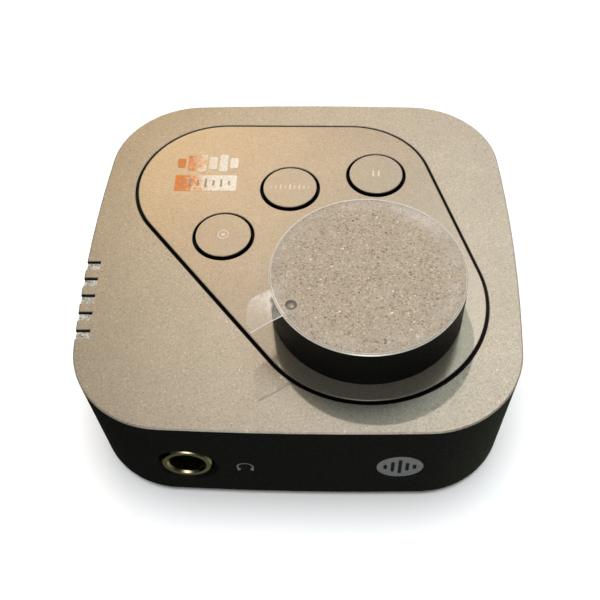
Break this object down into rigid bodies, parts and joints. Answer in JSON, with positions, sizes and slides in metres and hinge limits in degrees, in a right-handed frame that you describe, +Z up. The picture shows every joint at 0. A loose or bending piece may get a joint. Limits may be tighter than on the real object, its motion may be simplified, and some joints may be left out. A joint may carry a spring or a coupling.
{
  "type": "headphone amplifier",
  "caption": "Compact desktop headphone amplifier: rounded black shell with a silver cover, inlaid control panel, large volume knob, push buttons and a front headphone socket.",
  "frame": {"origin": "on the surface that the feet stand on, under the middle of the shell", "axes": "+X to the right, +Y to the back, +Z up; the headphone socket faces -Y, the front"},
  "size_m": [0.082, 0.0808, 0.0362],
  "materials": {
    "shell_black": "fine matte texture",
    "cover_silver": "satin metallic paint with fine flakes",
    "panel_silver": "satin metallic paint with fine flakes",
    "tray_black": "matte",
    "foot_rubber": "matte rubber",
    "screw_steel": "zinc plated",
    "knob_black": "fine matte, slightly satin",
    "knob_silver": "satin metallic paint with fine flakes, bright chamfer",
    "index_metal": "dark dished inlay",
    "clear_film": "clear glossy protective film",
    "pot_metal": "nickel plated",
    "pot_track": "printed carbon track on phenolic board",
    "button_black": "matte",
    "button_silver": "satin metallic paint with fine flakes",
    "switch_black": "moulded",
    "plunger_white": "moulded",
    "circuit_board": "solder mask",
    "chip_black": "moulded epoxy",
    "capacitor_can": "drawn can",
    "shield_steel": "tinned sheet",
    "connector_black": "moulded",
    "socket_gold": "polished gold plate",
    "contact_metal": "sprung, plated",
    "socket_shell": "folded stainless sheet",
    "light_pipe": "milky moulded light pipe",
    "lamp_white": "moulded lamp body"
  },
  "bodies": {
    "chassis": {"bottom_housing": "shell_black", "top_cover": "cover_silver", "panel_tray": "tray_black", "control_panel": "panel_silver", "rubber_feet": "foot_rubber", "case_screws": "screw_steel", "pot_case": "pot_metal", "pot_track": "pot_track", "pot_washer": "pot_metal", "pot_nut": "pot_metal", "button_switches": "switch_black", "main_board": "circuit_board", "control_board": "circuit_board", "board_screws": "screw_steel", "amplifier_chips": "chip_black", "capacitors": "capacitor_can", "converter_shield": "shield_steel", "board_link": "connector_black", "jack_ring": "socket_gold", "jack_body": "connector_black", "jack_contacts": "contact_metal", "line_socket": "connector_black", "usb_shell": "socket_shell", "usb_tongue": "connector_black", "meter_light_pipe": "light_pipe", "meter_lamps": "lamp_white"},
    "knob_assembly": {"knob_body": "knob_black", "knob_cap": "knob_silver", "knob_index_dot": "index_metal", "knob_film": "clear_film", "pot_shaft": "pot_metal", "pot_wiper": "pot_metal"},
    "right_push": {"right_button": "button_black", "right_button_face": "button_silver", "right_switch_plunger": "plunger_white"},
    "middle_push": {"middle_button": "button_black", "middle_button_face": "button_silver", "middle_switch_plunger": "plunger_white"},
    "left_push": {"left_button": "button_black", "left_button_face": "button_silver", "left_switch_plunger": "plunger_white"}
  },
  "joints": [
    {"name": "knob_turn", "type": "hinge", "parent": "chassis", "child": "knob_assembly", "pos_m": [0.01265, -0.0138, 0.03], "axis": [0, 0, -1], "range_deg": [-31, 269]},
    {"name": "right_button_press", "type": "slide", "parent": "chassis", "child": "right_push", "axis": [0, 0, -1], "range_m": [0, 0.0005], "stiffness_N_per_m": 400, "springref_m": -0.00003},
    {"name": "middle_button_press", "type": "slide", "parent": "chassis", "child": "middle_push", "axis": [0, 0, -1], "range_m": [0, 0.0005], "stiffness_N_per_m": 400, "springref_m": -0.00003},
    {"name": "left_button_press", "type": "slide", "parent": "chassis", "child": "left_push", "axis": [0, 0, -1], "range_m": [0, 0.0005], "stiffness_N_per_m": 400, "springref_m": -0.00003}
  ]
}
